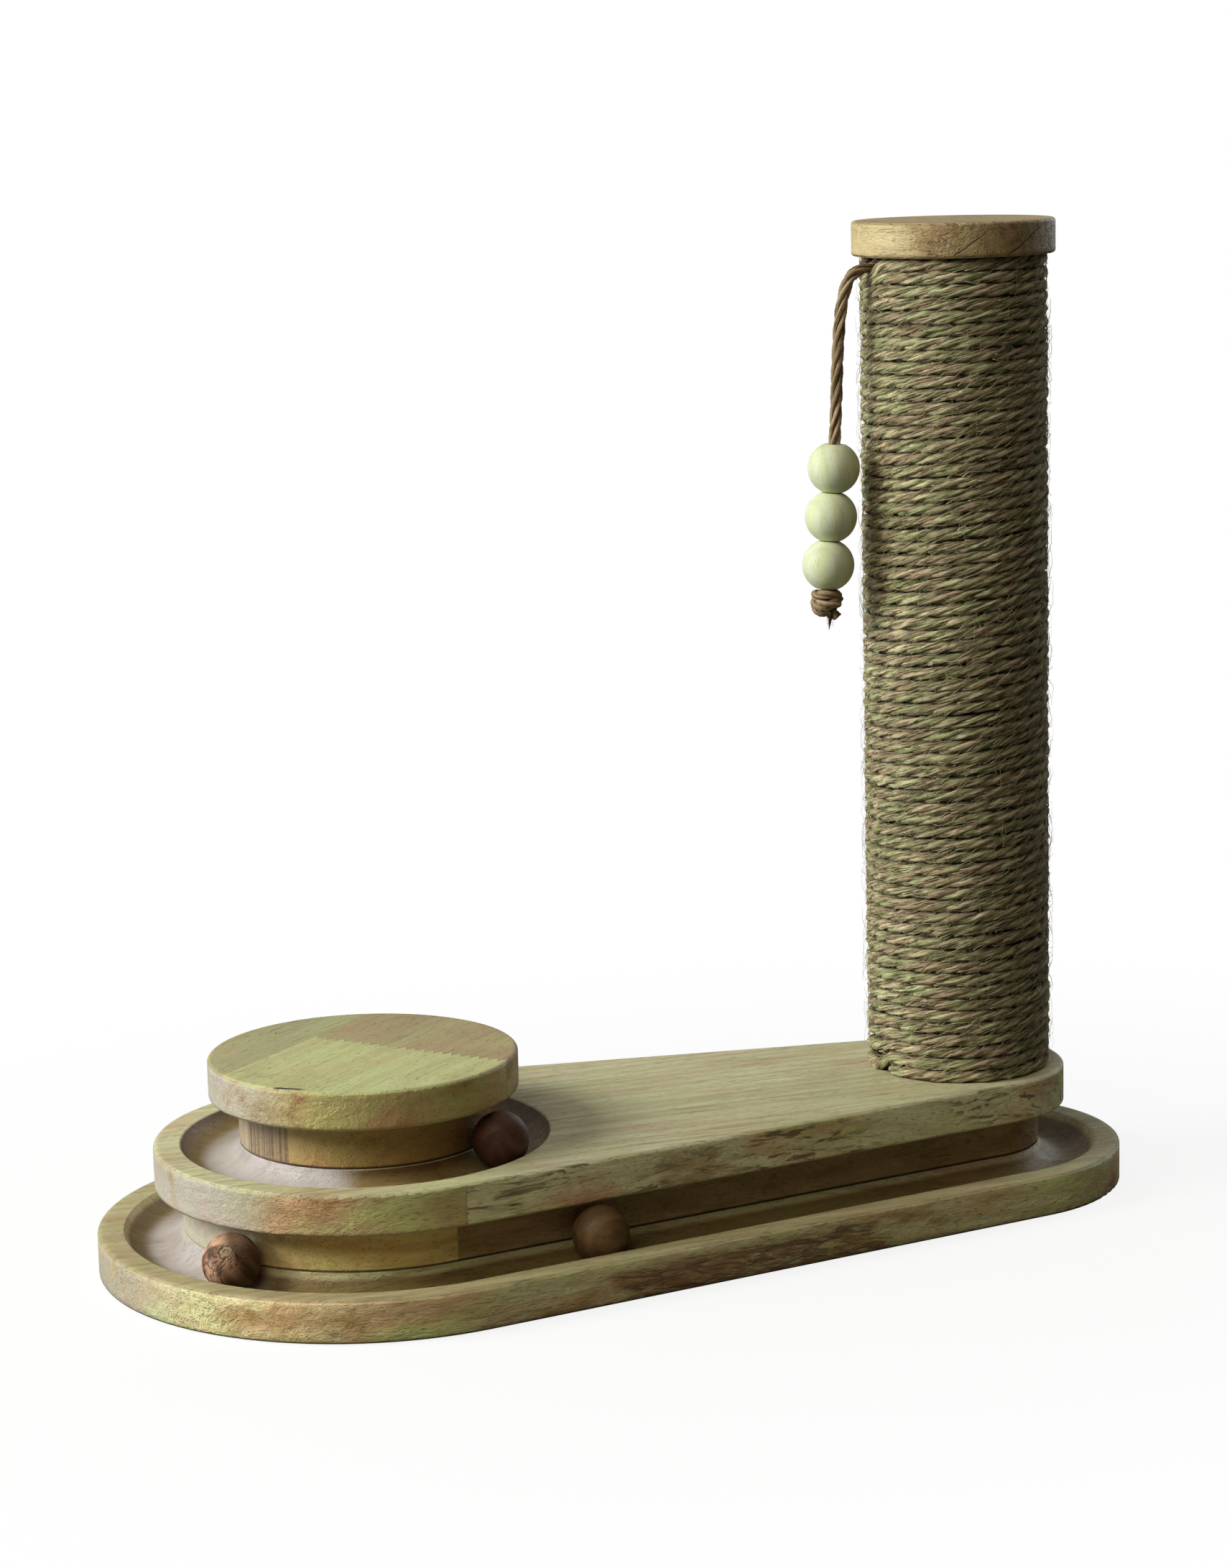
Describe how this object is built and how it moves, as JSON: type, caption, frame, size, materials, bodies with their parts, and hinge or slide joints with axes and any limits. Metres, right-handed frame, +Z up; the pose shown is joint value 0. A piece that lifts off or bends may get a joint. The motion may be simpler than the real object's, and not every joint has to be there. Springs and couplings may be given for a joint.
{
  "type": "cat scratcher",
  "caption": "Wooden cat scratcher: tapered stepped base with ball tracks and loose balls, a rope-wrapped post with a round cap, and a hanging cord with wooden beads.",
  "frame": {"origin": "on the floor under the middle of the base's bounding box", "axes": "+Z up, +X from the disc towards the post along the base, +Y away from the side seen in the picture"},
  "size_m": [0.465, 0.23, 0.429],
  "materials": {
    "board_wood": "clear satin lacquer on pale rubberwood",
    "ball_wood": "oiled dark hardwood",
    "bead_wood": "plain sanded pale wood",
    "rope": "jute rope",
    "cord": "brown jute cord",
    "tube_board": "plain card tube",
    "steel": "zinc plated"
  },
  "bodies": {
    "stand": {"base_board": "board_wood", "deck_board": "board_wood", "top_disc": "board_wood", "deck_screws": "steel", "disc_screws": "steel", "post_core": "tube_board", "post_plug": "board_wood", "threaded_insert": "steel", "post_bolt": "steel", "post_washer": "steel", "rope_wrap": "rope", "post_cap": "board_wood"},
    "ring_ball": {"ring_ball": "ball_wood"},
    "left_ball": {"left_ball": "ball_wood"},
    "front_ball": {"front_ball": "ball_wood"},
    "toy": {"toy_cord": "cord", "toy_knot": "cord"},
    "toy_bead_top": {"toy_bead_top": "bead_wood"},
    "toy_bead_middle": {"toy_bead_middle": "bead_wood"},
    "toy_bead_bottom": {"toy_bead_bottom": "bead_wood"}
  },
  "joints": [
    {"name": "ring_ball_roll", "type": "hinge", "parent": "stand", "child": "ring_ball", "pos_m": [-0.1175, 0, 0.0588], "axis": [0, 0, 1], "continuous": true},
    {"name": "left_ball_roll", "type": "hinge", "parent": "stand", "child": "left_ball", "pos_m": [-0.1175, 0, 0.0228], "axis": [0, 0, 1], "range_deg": [-134.5, 63]},
    {"name": "front_ball_roll", "type": "slide", "parent": "stand", "child": "front_ball", "axis": [0.988, 0.1547, 0], "range_m": [-0.037, 0.211]},
    {"name": "toy_swing", "type": "hinge", "parent": "stand", "child": "toy", "pos_m": [0.1163, 0, 0.4104], "axis": [1, 0, 0], "range_deg": [-80, 80]},
    {"name": "toy_bead_top_spin", "type": "hinge", "parent": "toy", "child": "toy_bead_top", "pos_m": [0.10301, 0, 0.32454], "axis": [0.075, 0, 0.9972], "continuous": true},
    {"name": "toy_bead_middle_spin", "type": "hinge", "parent": "toy", "child": "toy_bead_middle", "pos_m": [0.10144, 0, 0.3036], "axis": [0.075, 0, 0.9972], "continuous": true},
    {"name": "toy_bead_bottom_spin", "type": "hinge", "parent": "toy", "child": "toy_bead_bottom", "pos_m": [0.09986, 0, 0.28266], "axis": [0.075, 0, 0.9972], "continuous": true}
  ]
}
